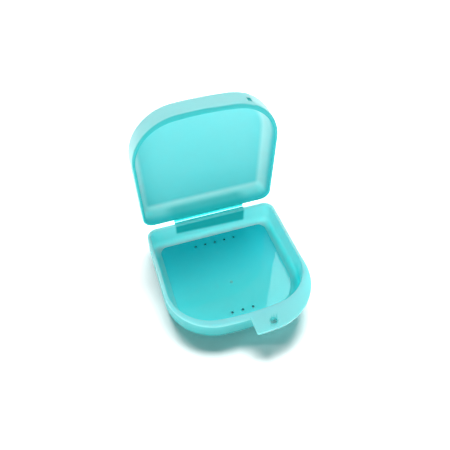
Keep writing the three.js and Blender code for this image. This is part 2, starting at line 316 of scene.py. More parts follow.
class PlasticLook(bpy.types.PropertyGroup):
    """Colours and finish of the plastic."""

    satin: color("Satin", 178, 243, 245, "Colour of the satin walls")
    # Painted shade: a deeper copy of the satin colour for the rim's face and the tab, which face the
    # overhead light, so that they look no brighter than the walls.
    face: color("Faces", 146, 226, 230, "Colour of the rim's face and the tab")
    # Painted shade: a deeper colour for thick plastic that lets little light through, on the tray's band and
    # hinge land and on the lid's wall, rim face and notch; it is also the film's colour.
    deep_and_shade: color("Deep", 42, 192, 192, "Colour of the satin plastic where it is thick")
    # Painted shade: a deeper teal at the foot of the inner wall, in the corner with the floor.
    wall_foot_shade: color("Wall foot", 42, 234, 236, "Colour of the inner wall's foot")
    polished: color("Polished", 90, 238, 250, "Colour of the polished floor at the front")
    # Painted shade: the polished floor's colour towards the hinge, where the open lid shades it.
    polished_shade: color("Polished deep", 32, 208, 220, "Colour of the polished floor at the hinge")
    # Painted shade: the lid is the same plastic as the tray, painted in this deeper colour to hold down the
    # light that shines through it.
    lid: color("Lid", 86, 205, 210, "Colour of the lid")
    lid_outside: color("Lid outside", 166, 238, 240, "Colour of the lid's outside")
    # Painted light: paler bands on the fillets round the lid's panel, where light gathers.
    lit_lid_fillet: color("Lid fillet", 206, 242, 242, "Colour of the fillets round the lid's panel")
    film: color("Flex line", 240, 250, 238, "Colour of the line where the film flexes")
    # Painted highlight: a pale glint along the floor's edge at the hinge, on the witness step.
    witness_highlight: color("Witness line", 214, 255, 250, "Colour of the floor's edge at the hinge")
    # Painted shade: a dark teal inside the vents, for the shade in the holes.
    vent: color("Vents", 24, 150, 160, "Colour inside the vents")
    depth: length("Light depth", 5, "How far light travels inside the plastic")
    lid_scatter: amount("Lid scatter", 0.6, "Share of light that scatters in the lid")
    polished_depth: length("Polished light depth", 3, "How far it travels under the polished floor")
    satin_roughness: amount("Satin roughness", 0.42, "Roughness of the moulded faces")
    polished_roughness: amount("Polished roughness", 0.015, "Roughness of the floor")


class StageLook(bpy.types.PropertyGroup):
    """Floor and light."""

    floor_size: length("Floor size", 6000, "Side of the floor")
    floor: color("Floor", 254, 254, 254, "Colour of the floor")
    lift: amount("Floor lift", 0.2, "Light that the camera sees on the far floor")
    # Painted light: a teal glow that only the camera sees, straight or mirrored, in the shadow in front of
    # the case, standing in for light through the plastic.
    shade: color("Floor shade", 40, 97, 95, "Light through the plastic, on the floor")
    lift_from: length("Lift from", 44, "Distance from the case's middle at which it starts")
    lift_to: length("Lift to", 90, "Distance at which it is full")
    ambient: amount("Ambient", 0.1, "Strength of the light from all round")
    key: amount("Key light", 4.8, "Brightness of the upright soft box, where 1 is white")
    floor_light: amount("Floor light", 20, "Brightness of the soft box for the floor")
    top: amount("Top light", 1.75, "Brightness of the soft box overhead")
    fill: amount("Fill light", 1.8, "Brightness of the soft box in front")


class CaseSettings(bpy.types.PropertyGroup):
    """All settings of the retainer case."""

    rim: PointerProperty(type=RimSizes)
    tray: PointerProperty(type=TraySizes)
    vents: PointerProperty(type=VentSizes)
    lid: PointerProperty(type=LidSizes)
    hinge: PointerProperty(type=HingeSizes)
    look: PointerProperty(type=PlasticLook)
    stage: PointerProperty(type=StageLook)


@dataclass
class Outline:
    """D-shaped outline as points and outward normals, anticlockwise from the middle of the front."""

    half_width: float
    hinge_y: float
    front_y: float
    hinge_radius: float
    front_radius: float
    bow_radius: float
    flare: float

    def __post_init__(self):
        """Centres of the bow, the front corner and the hinge corner of the right half."""
        outward = np.array([math.cos(self.flare), math.sin(self.flare)])
        along = np.array([-math.sin(self.flare), math.cos(self.flare)])
        self.bow = np.array([0, self.front_y + self.bow_radius])
        offset = self.half_width * outward[0] - self.front_radius
        middle = along @ self.bow
        reach = (self.bow_radius - self.front_radius) ** 2
        spread = reach - self.bow @ self.bow - offset ** 2 + 2 * offset * (outward @ self.bow)
        self.front = outward * offset + along * (middle - math.sqrt(middle ** 2 + spread))
        hinge_y = self.hinge_y - self.hinge_radius
        hinge_x = (self.half_width * outward[0] - self.hinge_radius - outward[1] * hinge_y) / outward[0]
        self.hinge = np.array([hinge_x, hinge_y])
        self.turn = math.atan2(self.front[1] - self.bow[1], self.front[0] - self.bow[0])

    def inside(self, distance):
        """The outline this far inside, where a hinge corner stays slightly round."""
        return Outline(self.half_width - distance / math.cos(self.flare), self.hinge_y - distance,
                       self.front_y + distance, max(self.hinge_radius - distance, SMALLEST_CORNER),
                       self.front_radius - distance, self.bow_radius - distance, self.flare)

    def on_bow(self, x):
        """Angles about the bow's centre of points at these distances right of the middle."""
        return np.arcsin(np.asarray(x) / self.bow_radius) - math.pi / 2


def arc(centre, radius, angles):
    """Points of an arc, and its normals."""
    normals = np.column_stack([np.cos(angles), np.sin(angles)])
    return centre + radius * normals, normals


def line(start, end, steps, normal):
    """Points of a straight stretch after its start, and its normals."""
    shares = np.linspace(0, 1, steps + 1)[1:, None]
    return start + (np.asarray(end) - start) * shares, np.tile(normal, (steps, 1))


def joined(*stretches):
    return np.vstack([s[0] for s in stretches]), np.vstack([s[1] for s in stretches])


def mirrored(points, normals):
    """The same stretch on the left, in the reverse order."""
    return points[::-1] * (-1, 1), normals[::-1] * (-1, 1)


def tab_end_x(tray):
    """How far left of the middle the points of the tab's square end lie on outlines that have no tab."""
    outside = np.linspace(tray.tab_left + tray.tab_fillet, tray.tab_left - tray.tab_round,
                          TAB_FILLET_STEPS + 1)
    steps = TAB_END_STEPS + TAB_CORNER_STEPS
    inside = np.linspace(outside[-1], tray.tab_left - tray.tab_corner, steps + 2)[2:]
    return np.concatenate([outside, inside])


def right_half(outline):
    """Bow, front corner, side, hinge corner and back of the right half."""
    bow = arc(outline.bow, outline.bow_radius, np.linspace(-math.pi / 2, outline.turn, BOW_STEPS + 1))
    front = arc(outline.front, outline.front_radius,
                np.linspace(outline.turn, outline.flare, CORNER_STEPS + 1)[1:])
    hinge = arc(outline.hinge, outline.hinge_radius,
                np.linspace(outline.flare, math.pi / 2, HINGE_CORNER_STEPS + 1)[1:])
    sideways = np.array([math.cos(outline.flare), math.sin(outline.flare)])
    side = line(front[0][-1], outline.hinge + outline.hinge_radius * sideways, SIDE_STEPS, sideways)
    back = line(hinge[0][-1], np.array([0, outline.hinge_y]), BACK_STEPS, np.array([0.0, 1.0]))
    return bow, front, side, hinge, back


def ring_of(outline, tray):
    """Whole outline, with extra points where the tab's square end is on the outlines that have it."""
    bow, front, side, hinge, back = right_half(outline)
    left = mirrored(*joined(front, side, hinge, back))
    end_x = tab_end_x(tray)
    left_bow = mirrored(*arc(outline.bow, outline.bow_radius,
                             np.linspace(outline.on_bow(end_x[0]), outline.turn, BOW_STEPS + 1)))
    tab_end = arc(outline.bow, outline.bow_radius, outline.on_bow(-end_x[1:]))
    return joined(bow, front, side, hinge, back, (left[0][1:], left[1][1:]), left_bow, tab_end)


def tab_ring(rim_outline, rim_ring, tray):
    """The rim's outline with the tab, and how much each point belongs to the tab and to its round edges."""
    points, normals = rim_ring[0].copy(), rim_ring[1].copy()
    on_tab, on_edge = np.zeros(len(points)), np.zeros(len(points))
    tab = Outline(rim_outline.half_width, rim_outline.hinge_y, rim_outline.front_y - tray.tab_reach,
                  rim_outline.hinge_radius, tray.tab_side, rim_outline.bow_radius, rim_outline.flare)
    bow = right_half(tab)[0]
    straight = round(CORNER_STEPS * tray.tab_reach / (tray.tab_side * math.pi / 2 + tray.tab_reach))
    curved = CORNER_STEPS - straight
    front = arc(tab.front, tab.front_radius, np.linspace(tab.turn, tab.flare, curved + 1)[1:])
    meets = rim_ring[0][BOW_STEPS + CORNER_STEPS]
    side = line(front[0][-1], meets, straight, front[1][-1])
    right = joined(bow, front, side)
    end = len(right[0])
    points[:end], normals[:end] = right
    fade = np.clip((end - 1 - np.arange(end)) / TAB_FADE_STEPS, 0, 1)
    on_tab[:end], on_edge[:end] = fade, fade ** 2

    root = rim_ring[0][-1 - TAB_FILLET_STEPS - TAB_END_STEPS - TAB_CORNER_STEPS]
    fillet_centre = root - (0, tray.tab_fillet)
    angles = np.linspace(math.pi / 2, 0, TAB_FILLET_STEPS + 1)[1:]
    fillet = arc(fillet_centre, tray.tab_fillet, angles)
    fillet = fillet[0], -fillet[1]
    corner_x = tray.tab_corner - tray.tab_left
    corner_y = tab.bow[1] - math.sqrt((tab.bow_radius - tray.tab_corner) ** 2 - corner_x ** 2)
    corner = arc(np.array([corner_x, corner_y]), tray.tab_corner,
                 np.linspace(math.pi, 1.5 * math.pi, TAB_CORNER_STEPS + 1))
    edge = line(fillet[0][-1], corner[0][0], TAB_END_STEPS, np.array([-1.0, 0.0]))
    square = joined(fillet, edge, (corner[0][1:], corner[1][1:]))
    size = len(square[0])
    points[-size:], normals[-size:] = square
    on_tab[-size:] = 1
    on_edge[-size:] = np.clip((np.arange(size) + 1) / TAB_FILLET_STEPS, 0, 1) ** 2
    return (points, normals), on_tab, on_edge


def level(ring, inset, z):
    """Ring of 3-D points: an outline moved in by a distance, at a height, each of them one value or many."""
    points, normals = ring
    inset = np.broadcast_to(inset, len(points))[:, None]
    return np.column_stack([points - normals * inset, np.broadcast_to(z, len(points))])


def rim_outlines(case):
    """Outline of the rim and of the mouth inside it."""
    rim = case.rim
    half_depth = rim.depth / 2
    outer = Outline(rim.width / 2, half_depth, -half_depth, rim.hinge_corner, rim.front_corner,
                    rim.front_bow, rim.flare)
    mouth = Outline(rim.width / 2 - rim.side_land / math.cos(rim.flare), half_depth - rim.side_land,
                    rim.front_land - half_depth, rim.hinge_corner - rim.side_land, rim.mouth_corner,
                    rim.mouth_bow, rim.flare)
    return outer, mouth


def floor_outline(case):
    """Outline of the tray's flat floor, where the fillets end."""
    tray, mouth = case.tray, rim_outlines(case)[1]
    inside = mouth.inside(tray.side_fillet)
    return Outline(inside.half_width, mouth.hinge_y - tray.fillet, inside.front_y, tray.floor_corner,
                   inside.front_radius, inside.bow_radius, mouth.flare)


def loft(name, rings, polished_from=None, marks=None):
    """Closed mesh through a stack of rings, with flat ends. Faces from one ring on may be of the second
    material. Marks are values for each point of each ring, which the materials read."""
    per_ring = len(rings[0])
    step = np.arange(per_ring)
    following = (step + 1) % per_ring
    low = np.arange(len(rings) - 1)[:, None] * per_ring
    high = low + per_ring
    sides = np.dstack([low + step, low + following, high + following, high + step])
    faces = [step[::-1].tolist(), *sides.reshape(-1, 4).tolist(), (high[-1] + step).tolist()]
    mesh = bpy.data.meshes.new(name)
    mesh.from_pydata(np.vstack(rings).tolist(), [], faces)
    if polished_from is not None:
        slots = np.zeros(len(faces), dtype=np.int32)
        slots[1 + polished_from * per_ring:] = 1
        mesh.polygons.foreach_set("material_index", slots)
    for key, values in (marks or {}).items():
        attribute = mesh.attributes.new(key, "FLOAT", "POINT")
        attribute.data.foreach_set("value", np.concatenate(values).astype(np.float32))
    return mesh


def smooth(piece):
    """Smooth shading with crisp edges where the surface turns sharply, and large faces kept flat."""
    piece.data.shade_smooth()
    piece.data.set_sharp_from_angle(angle=SHARP_ANGLE)
    weighted = piece.modifiers.new("flat_faces", "WEIGHTED_NORMAL")
    weighted.keep_sharp = True
    weighted.weight = 100
    settle(piece)


def new_object(name, mesh):
    piece = bpy.data.objects.new(name, mesh)
    bpy.context.scene.collection.objects.link(piece)
    return piece


def plain_mesh(piece):
    """Mesh of an object with its modifiers applied."""
    bpy.context.view_layer.update()
    evaluated = piece.evaluated_get(bpy.context.evaluated_depsgraph_get())
    return bpy.data.meshes.new_from_object(evaluated)


def taken_mesh(piece):
    """The same, with the object removed."""
    mesh = plain_mesh(piece)
    bpy.data.objects.remove(piece)
    return mesh


def settle(piece):
    """Applies an object's modifiers to its mesh and removes them."""
    mesh = plain_mesh(piece)
    piece.modifiers.clear()
    piece.data = mesh


def combine(piece, tool_mesh, operation):
    """Cuts a tool's shape out of a piece, or joins it on."""
    tool = new_object("tool", tool_mesh)
    modifier = piece.modifiers.new("combine", "BOOLEAN")
    modifier.object = tool
    modifier.operation = operation
    modifier.solver = "EXACT"
    settle(piece)
    bpy.data.objects.remove(tool)


def spun(name, profile, steps, place):
    """Closed mesh of revolution about an upright axis, from (radius, height) pairs in rising order."""
    angles = np.linspace(0, 2 * math.pi, steps, endpoint=False)
    rings = [np.column_stack([place[0] + r * np.cos(angles), place[1] + r * np.sin(angles),
                              np.full(steps, z)]) for r, z in profile]
    return loft(name, rings)


def ease(value, low, high):
    """0 below one value, 1 above another and smooth between. The other way round when low is above high."""
    share = np.clip((value - low) / (high - low), 0, 1)
    return share * share * (3 - 2 * share)


def tray_marks(rings, rim_from):
    """Marks of painted shade: on the band outside, where thick plastic lets little light through, and at the
    wall's foot inside.
    """
    thick, foot = [], []
    for i, ring in enumerate(rings):
        y, z = ring[:, 1], ring[:, 2]
        inside = float(i >= rim_from)
        # Painted shade on the band outside, below the rim's edge
        thick.append(BAND_SHARE * ease(z, *BAND_Z) * (1 - inside))
        # Painted shade at the foot of the inner wall, in the corner with the floor
        at_side = FOOT_SHADE_SHARE * ease(z, *FOOT_Z) * ease(y, *FOOT_Y)
        at_corner = CORNER_SHADE_SHARE * ease(z, *CORNER_Z) * ease(y, *CORNER_Y)
        foot.append(np.maximum(at_side, at_corner) * inside)
    return {"thick": thick, "foot": foot}


def tray_rings(case):
    """Rings of the tray from the middle of its foot, up the outside, over the rim and down to the floor."""
    rim_outline, mouth_outline = rim_outlines(case)
    tray, mouth_round = case.tray, case.rim.mouth_round
    rim = ring_of(rim_outline, tray)
    mouth = ring_of(mouth_outline, tray)
    foot = mouth[0] + mouth[1] * tray.wall, mouth[1]
    tab, on_tab, on_edge = tab_ring(rim_outline, rim, tray)

    rings = [level(foot, tray.foot_round + 2 * FLAT_EDGE, 0)]
    rings += [level(foot, tray.foot_round * left, tray.foot_round * gone) for left, gone in FILLET]

    band_z = TRAY_TOP - tray.band
    overhang = np.linalg.norm(rim[0] - foot[0], axis=1)
    band_round = np.minimum(tray.band_round, overhang / 2)
    rings.append(level(foot, 0, band_z - 2 * STRIP))
    rings += [level(rim, band_round * left, band_z + band_round * gone) for left, gone in EDGE]
    rings.append(level(rim, 0, band_z + 2 * tray.band_round))

    under = TRAY_TOP - tray.tab_thickness
    wall_z = under - 3 * tray.tab_round

    def edge(ring, inset, z_tab, strips):
        """Ring at one height on the tab, and at some strips above the wall's last ring elsewhere."""
        z_wall = wall_z + strips * STRIP
        return level(ring, inset * on_edge, z_wall + (z_tab - z_wall) * on_tab)

    rings += [edge(rim, 0, under - 2 * tray.tab_round, 0), edge(rim, 0, under, 2)]
    rings += [edge(tab, tray.tab_round * left, under + tray.tab_round * gone, 3 + i)
              for i, (left, gone) in enumerate(EDGE)]

    near_tab = np.clip(1 - (np.abs(tab[0][:, 0] + tray.tab_left) - tray.tab_fillet) / TAB_NARROWING, 0, 1)
    narrow = np.maximum(on_tab, near_tab * (tab[0][:, 1] < 0))
    top_round = tray.rim_round + (tray.tab_round - tray.rim_round) * narrow
    rings += [level(tab, top_round * gone, TRAY_TOP - top_round * left) for left, gone in EDGE]
    rim_from = len(rings)
    outer = level(tab, top_round + STRIP, TRAY_TOP)
    inner = level(mouth, -mouth_round - STRIP, TRAY_TOP)
    rings += [outer + (inner - outer) * share for share in FACE_SHARES]
    rings += [level(mouth, -mouth_round * left, TRAY_TOP - mouth_round * gone) for left, gone in EDGE]

    flat = ring_of(floor_outline(case), tray)
    reach = np.linalg.norm(flat[0] - mouth[0], axis=1)
    fillet_z = tray.floor + reach
    wall_top = TRAY_TOP - mouth_round
    rings += [level(mouth, 0, wall_top + (fillet_z - wall_top) * share) for share in WALL_SHARES]
    for left, gone in FILLET:
        part_way = mouth[0] + (flat[0] - mouth[0]) * gone, mouth[1]
        rings.append(level(part_way, 0, tray.floor + reach * left))
    polished_from = len(rings) - 1
    step = tray.witness
    rings += [level(flat, into * step, tray.floor - down * step) for into, down in WITNESS_EDGE]
    rings.append(level(flat, FLAT_EDGE, tray.floor - step))
    return rings, polished_from, tray_marks(rings, rim_from)


def cord_hole_tool(case):
    """Cutter for the cord hole, flared where it meets the tab's two faces."""
    tray, edge = case.tray, case.tray.hole_round
    y = -case.rim.depth / 2 - tray.tab_reach + tray.hole_in
    low, high = TRAY_TOP - tray.tab_thickness, TRAY_TOP
    flare = [(tray.hole_radius + edge * left, edge * gone) for left, gone in EDGE]
    profile = [(flare[0][0], low - edge)] + [(radius, low + rise) for radius, rise in flare]
    profile += [(radius, high - rise) for radius, rise in reversed(flare)] + [(flare[0][0], high + edge)]
    return spun("cord_hole", profile, CORD_HOLE_SIDES, (tray.hole_right, y))


def gate_mark_tool(case):
    """Low round button that the gate leaves on the floor."""
    tray = case.tray
    top = tray.floor - tray.witness + tray.gate_height
    edge = GATE_EDGE * tray.gate_height
    profile = [(tray.gate_radius, tray.floor / 2)]
    profile += [(tray.gate_radius - edge * gone, top - edge * left) for left, gone in EDGE]
    return spun("gate_mark", profile, GATE_SIDES, (0, case.rim.depth / 2 - tray.gate_in))


def rounded_box(name, low, high, radius):
    """Box between two corners with round edges."""
    mesh = bpy.data.meshes.new(name)
    corners = [(x, y, z) for z in (low[2], high[2]) for y in (low[1], high[1]) for x in (low[0], high[0])]
    faces = [(0, 2, 3, 1), (4, 5, 7, 6), (0, 1, 5, 4), (1, 3, 7, 5), (3, 2, 6, 7), (2, 0, 4, 6)]
    mesh.from_pydata(corners, [], faces)
    box = new_object(name, mesh)
    bevel = box.modifiers.new("round", "BEVEL")
    bevel.width = radius
    bevel.segments = BEVEL_STEPS
    return taken_mesh(box)


def hinge_land_mesh(case):
    """Thick land outside the tray's back wall, as long as the film."""
    hinge = case.hinge
    back = case.rim.depth / 2
    top = TRAY_TOP - hinge.land_drop
    low = (-HINGE_LENGTH / 2, back - case.rim.side_land / 2, top - hinge.land_height)
    return rounded_box("land", low, (HINGE_LENGTH / 2, back + hinge.land, top), hinge.land_round)


class Tree:
    """A node tree, and one way to add any node to it."""

    def __init__(self, owner):
        self.nodes = owner.nodes
        self.links = owner.links

    def add(self, kind, settings=None, inputs=None, output=0):
        """New node of a type: its settings are set first, then its sockets get values or links."""
        node = self.nodes.new(kind)
        for name, value in (settings or {}).items():
            setattr(node, name, value)
        self.fill(node, inputs or {})
        return Link(self, node, output)

    def fill(self, node, inputs):
        """Gives a node's sockets their values or links."""
        for key, value in inputs.items():
            if isinstance(value, Link):
                self.links.new(value.socket, node.inputs[key])
            else:
                node.inputs[key].default_value = value

    def math(self, operation, *values):
        return self.add("ShaderNodeMath", {"operation": operation}, dict(enumerate(values)))

    def mark(self, name):
        """Values that the piece's mesh holds under a name."""
        return self.add("ShaderNodeAttribute", {"attribute_name": name}, None, "Fac")

    def seen(self):
        """1 for what the camera sees, straight or in metal or glass, and 0 for light on other surfaces."""
        rays = self.add("ShaderNodeLightPath")
        indirect = rays.out("Is Glossy Ray") + rays.out("Is Transmission Ray")
        return (rays.out("Is Camera Ray") + indirect).clamp()


def both_ways(operation):
    """An operator that adds a Math node, and its reflected form."""
    return (lambda link, other: link.tree.math(operation, link, other),
            lambda link, other: link.tree.math(operation, other, link))


class Link:
    """A node's output. + - * / and abs add Math nodes."""

    def __init__(self, tree, node, output=0):
        self.tree = tree
        self.node = node
        self.socket = node.outputs[output]

    def out(self, name):
        return Link(self.tree, self.node, name)

    def parts(self):
        """X, Y and Z of a vector."""
        split = self.tree.add("ShaderNodeSeparateXYZ", None, {"Vector": self})
        return [split.out(axis) for axis in "XYZ"]

    def clamp(self):
        return self.tree.add("ShaderNodeClamp", None, {"Value": self})

    def __abs__(self):
        return self.tree.math("ABSOLUTE", self)

    __add__, __radd__ = both_ways("ADD")
    __sub__, __rsub__ = both_ways("SUBTRACT")
    __mul__, __rmul__ = both_ways("MULTIPLY")
    __truediv__, __rtruediv__ = both_ways("DIVIDE")


def vent_tree():
    """Geometry Nodes tree of a row of flared cutters, one for each vent."""
    group = bpy.data.node_groups.new("vent_row", "GeometryNodeTree")
    group.interface.new_socket("Geometry", in_out="OUTPUT", socket_type="NodeSocketGeometry")
    for name, kind in VENT_INPUTS:
        group.interface.new_socket(name, in_out="INPUT", socket_type="NodeSocket" + kind)
    tree = Tree(group)
    given = tree.add("NodeGroupInput")
    number, pitch, row, radius, edge, floor, bore = (given.out(name) for name, _kind in VENT_INPUTS)

    def place(x=0, y=0, z=0):
        return tree.add("ShaderNodeCombineXYZ", None, {"X": x, "Y": y, "Z": z})

    first = place((number - 1) * pitch * -0.5, row)
    points = tree.add("GeometryNodeMeshLine", {"mode": "OFFSET"},
                      {"Count": number, "Start Location": first, "Offset": place(pitch)})
    path = tree.add("GeometryNodeCurvePrimitiveLine", None,
                    {"Start": place(z=edge * -1), "End": place(z=floor + edge)})
    path = tree.add("GeometryNodeResampleCurve", None, {"Curve": path, "Count": VENT_LEVELS})
    height = tree.add("GeometryNodeInputPosition").parts()[2]
    middle = floor * 0.5
    depth = middle - abs(height - middle)
    into_edge = (1 - depth / edge).clamp()
    flare = 1 - tree.math("SQRT", 1 - into_edge * into_edge)
    section = tree.add("GeometryNodeCurvePrimitiveCircle", None, {"Resolution": VENT_SIDES, "Radius": 1.0})
    cutter = tree.add("GeometryNodeCurveToMesh", None, {
        "Curve": path, "Profile Curve": section, "Scale": radius + flare * edge, "Fill Caps": True})
    rows = tree.add("GeometryNodeInstanceOnPoints", None, {"Points": points, "Instance": cutter})
    solid = tree.add("GeometryNodeRealizeInstances", None, {"Geometry": rows})
    painted = tree.add("GeometryNodeSetMaterial", None, {"Geometry": solid, "Material": bore})
    tree.fill(group.nodes.new("NodeGroupOutput"), {"Geometry": painted})
    return group


def vent_row_mesh(group, values):
    """Plain mesh of one row of cutters, with the tree's named inputs set."""
    holder = new_object("vent_row", bpy.data.meshes.new("vent_row"))
    modifier = holder.modifiers.new("vents", "NODES")
    modifier.node_group = group
    for item in group.interface.items_tree:
        if item.name in values:
            modifier[item.identifier] = values[item.name]
    return taken_mesh(holder)


def vent_rows(case, bore):
    """Cutter meshes of the two rows of vents."""
    vents = case.vents
    half_depth = case.rim.depth / 2
    group = vent_tree()
    shared = {"Pitch": vents.pitch, "Radius": vents.radius, "Edge": vents.edge,
              "Floor": case.tray.floor - case.tray.witness, "Material": bore}
    rows = ((vents.hinge_count, half_depth - vents.hinge_in),
            (vents.front_count, vents.front_in - half_depth))
    return [vent_row_mesh(group, {**shared, "Count": number, "Row": y}) for number, y in rows]


def lip_rise(lid, x):
    """How much of its reach the thumb lip has at a distance right of the middle."""
    start = ease(x, -lid.lip_left, lid.lip_ramp - lid.lip_left)
    return start * ease(x, lid.lip_right + lid.lip_drop, lid.lip_right)


def lid_rings(case):
    """Rings of the shut lid from its ceiling's middle, down the inside, round the rim and over the dome."""
    rim_outline, mouth_outline = rim_outlines(case)
    lid, mouth_round = case.lid, case.rim.mouth_round
    rim = ring_of(rim_outline, case.tray)
    mouth = ring_of(mouth_outline, case.tray)
    rise = lip_rise(lid, rim[0][:, 0]) * (rim[0][:, 1] < 0)
    ceiling = lid.height - lid.panel

    def inside(inset, z):
        return level(ring_of(mouth_outline.inside(inset), case.tray), 0, z)

    rings = [inside(lid.fillet + FLAT_EDGE, ceiling)]
    rings += [inside(lid.fillet * left, ceiling - lid.fillet * gone) for left, gone in FILLET]
    wall_high = ceiling - lid.fillet
    rings += [level(mouth, 0, wall_high + (mouth_round - wall_high) * share) for share in WALL_SHARES]
    rings += [level(mouth, -mouth_round * gone, mouth_round * left) for left, gone in EDGE]

    width = lid.rim_round + (lid.lead_in_width - lid.rim_round) * rise
    height = lid.rim_round + (lid.lead_in_height - lid.rim_round) * rise
    out = -lid.lip_reach * rise
    inner = level(mouth, -mouth_round - STRIP, 0)
    outer = level(rim, out + width + STRIP, 0)
    rings += [inner + (outer - inner) * share for share in (0, 0.5, 1)]
    outside_from = len(rings) + 2  # the first rings of the round edge still look like the rim's face
    rings += [level(rim, out + width * left, height * gone) for left, gone in EDGE]

    crown_z = lid.height - lid.crown

    def over(z, lip):
        into = np.clip(z - crown_z, 0, lid.crown)
        return level(rim, out * lip + lid.crown - np.sqrt(np.maximum(lid.crown ** 2 - into ** 2, 0)), z)

    crown = [crown_z + lid.crown * math.sin(a) for a in np.linspace(0, math.pi / 2, CROWN_STEPS + 1)]
    ledge = lid.lip_height
    rings += [over(z, 1) for z in (*LIP_HEIGHTS, *crown) if z < ledge - BELOW_LEDGE]
    rings += [over(ledge + up * MM, lip) for up, lip in LEDGE]
    rings += [over(z, 0) for z in crown if z > ledge + ABOVE_LEDGE]
    rings.append(level(rim, lid.crown + 0.8 * FLAT_EDGE, lid.height))
    outside = [np.full(len(ring), float(i >= outside_from)) for i, ring in enumerate(rings)]
    return rings, None, {"outside": outside}


def notch_tool(case):
    """Cutter for the notch at the right end of the thumb lip."""
    lid = case.lid
    outline = rim_outlines(case)[0]
    middle = lid.notch_right - lid.notch_width / 2 - outline.front[0]
    surface = outline.front[1] - math.sqrt(outline.front_radius ** 2 - middle ** 2) - lid.lip_reach
    low = (lid.notch_right - lid.notch_width, surface - NOTCH_CLEARANCE, lid.notch_low)
    high = (lid.notch_right, surface + lid.notch_depth, lid.notch_high)
    return rounded_box("notch", low, high, NOTCH_ROUND)


def to_open(mesh):
    """Turns the shut lid's mesh about the hinge to where it stands open."""
    turn = Matrix(((1, 0, 0, 0), (0, 0, 1, 0), (0, -1, 0, 0), (0, 0, 0, 1)))
    axis = Vector((0, AXIS_Y, AXIS_Z))
    shut = Matrix.Translation((0, 0, LID_RIM_Y - AXIS_Y + AXIS_Z))
    mesh.transform(Matrix.Translation(axis) @ turn @ Matrix.Translation(-axis) @ shut)


def film_mesh(case):
    """The film: a strip from the tray's back edge round to the lid's, thinnest in the middle of its bend."""
    hinge = case.hinge
    back = case.rim.depth / 2
    centre = np.array([back + BEND_BEHIND, AXIS_Z + (LID_RIM_Y - back - BEND_BEHIND)])
    radius = LID_RIM_Y + hinge.film / 2 - centre[0]
    bend = np.linspace(-math.pi / 2, 0, BEND_STEPS + 1)
    lid_edge = AXIS_Z + (AXIS_Y - back)
    path = np.array([
        (back - hinge.root, centre[1] - radius), (back, centre[1] - radius),
        *[(centre[0] + radius * math.cos(a), centre[1] + radius * math.sin(a)) for a in bend],
        (centre[0] + radius, lid_edge), (centre[0] + radius, lid_edge + hinge.root)])
    ahead = np.gradient(path, axis=0)
    ahead /= np.linalg.norm(ahead, axis=1)[:, None]
    normal = np.column_stack([-ahead[:, 1], ahead[:, 0]])
    share = np.zeros(len(path))
    share[2:-2] = np.sin(2 * (bend + math.pi / 2)) ** 2
    half = (hinge.film - (hinge.film - hinge.flex) * share) / 2
    section = np.vstack([path - normal * half[:, None], (path + normal * half[:, None])[::-1]])
    stations = np.linspace(-0.5, 0.5, FILM_STEPS + 1) * HINGE_LENGTH
    rings = [np.column_stack([np.full(len(section), x), section]) for x in stations]
    return loft("living_hinge_film", rings)


def between(value, low, high):
    """0 below one value, 1 above another and smooth between. The other way round when low is above high."""
    share = ((value - low) / (high - low)).clamp()
    return share * share * (3 - 2 * share)


def within(value, low, high, fade):
    """1 from one value to another and 0 beyond them, with soft ends."""
    return between(value, low - fade, low) * between(value, high + fade, high)


def tinted(color_a, color_b, mask):
    """Colour between two, by a mask."""
    sockets = {6: color_a, 7: color_b}
    colors = {key: color if isinstance(color, Link) else (*color, 1) for key, color in sockets.items()}
    return mask.tree.add("ShaderNodeMix", {"data_type": "RGBA"}, {"Factor": mask, **colors}, 2)


def shell_painted_shade_and_light(place, base, look):
    """Painted shade on the rim's face, the tab, the thick band, the hinge land and the wall's foot; a
    painted highlight along the witness line.
    """
    tree = place.tree
    x, y, z = place.parts()
    side = abs(x)
    # Painted shade on the back wall behind the hinge land, where the wall is thicker and the lid shades it;
    # less of it near the rim
    land = between(side, *LAND_SIDE) * between(z + x * LAND_SLOPE, *LAND_FOOT) * between(y, *LAND_Y)
    land = land * (1 - between(z, *LAND_TOP) * LAND_TOP_SHARE)
    # Painted shade: the rim's face and the tab take the deeper face colour
    tone = tinted(base, look.face, between(z, *FACE_Z) * between(y, *FACE_Y))
    # Painted shade: the deeper colour on the band outside and behind the hinge land
    tone = tinted(tone, look.deep_and_shade, tree.math("MAXIMUM", tree.mark("thick"), land))
    # Painted shade at the foot of the inner wall
    tone = tinted(tone, look.wall_foot_shade, tree.mark("foot"))
    # Painted highlight along the witness step at the floor's edge near the hinge
    line = within(y, *WITNESS_Y, LINE_FADE) * within(z, *WITNESS_Z, LINE_FADE) * between(side, *WITNESS_SIDE)
    return tinted(tone, look.witness_highlight, line)


def lid_painted_shade_and_light(place, base, look):
    """Painted shade on the wall at the hinge, the rim's face and the notch, painted light on the fillets
    round the panel.
    """
    x, y, z = place.parts()
    outside = place.tree.mark("outside") * between(y, *LID_BACK)
    # Painted light on the fillets round the panel
    tone = tinted(base, look.lit_lid_fillet, between(y, *LID_FILLET_FROM) * between(y, *LID_FILLET_TO))
    tone = tinted(tone, look.lid_outside, outside)
    # Painted shade on the lid's wall at the hinge, which its panel shades from the light behind, deepest in
    # the middle
    wall = between(z, *LID_WALL_Z) * (LID_WALL_SHADE_SHARE + LID_WALL_SHADE_SHARE * between(abs(x), *LID_WALL_SIDE))
    # Painted shade on the rim's face, whose thick plastic lets little light through
    face = between(y, *LID_FACE_Y) * LID_FACE_SHADE_SHARE
    # Painted shade in the notch at the lip's right end
    notch = within(x, *NOTCH_X, NOTCH_FADE) * within(y, *NOTCH_Y, NOTCH_FADE) * between(z, *NOTCH_Z)
    return tinted(tone, look.deep_and_shade, wall + face + notch * NOTCH_SHADE_SHARE)


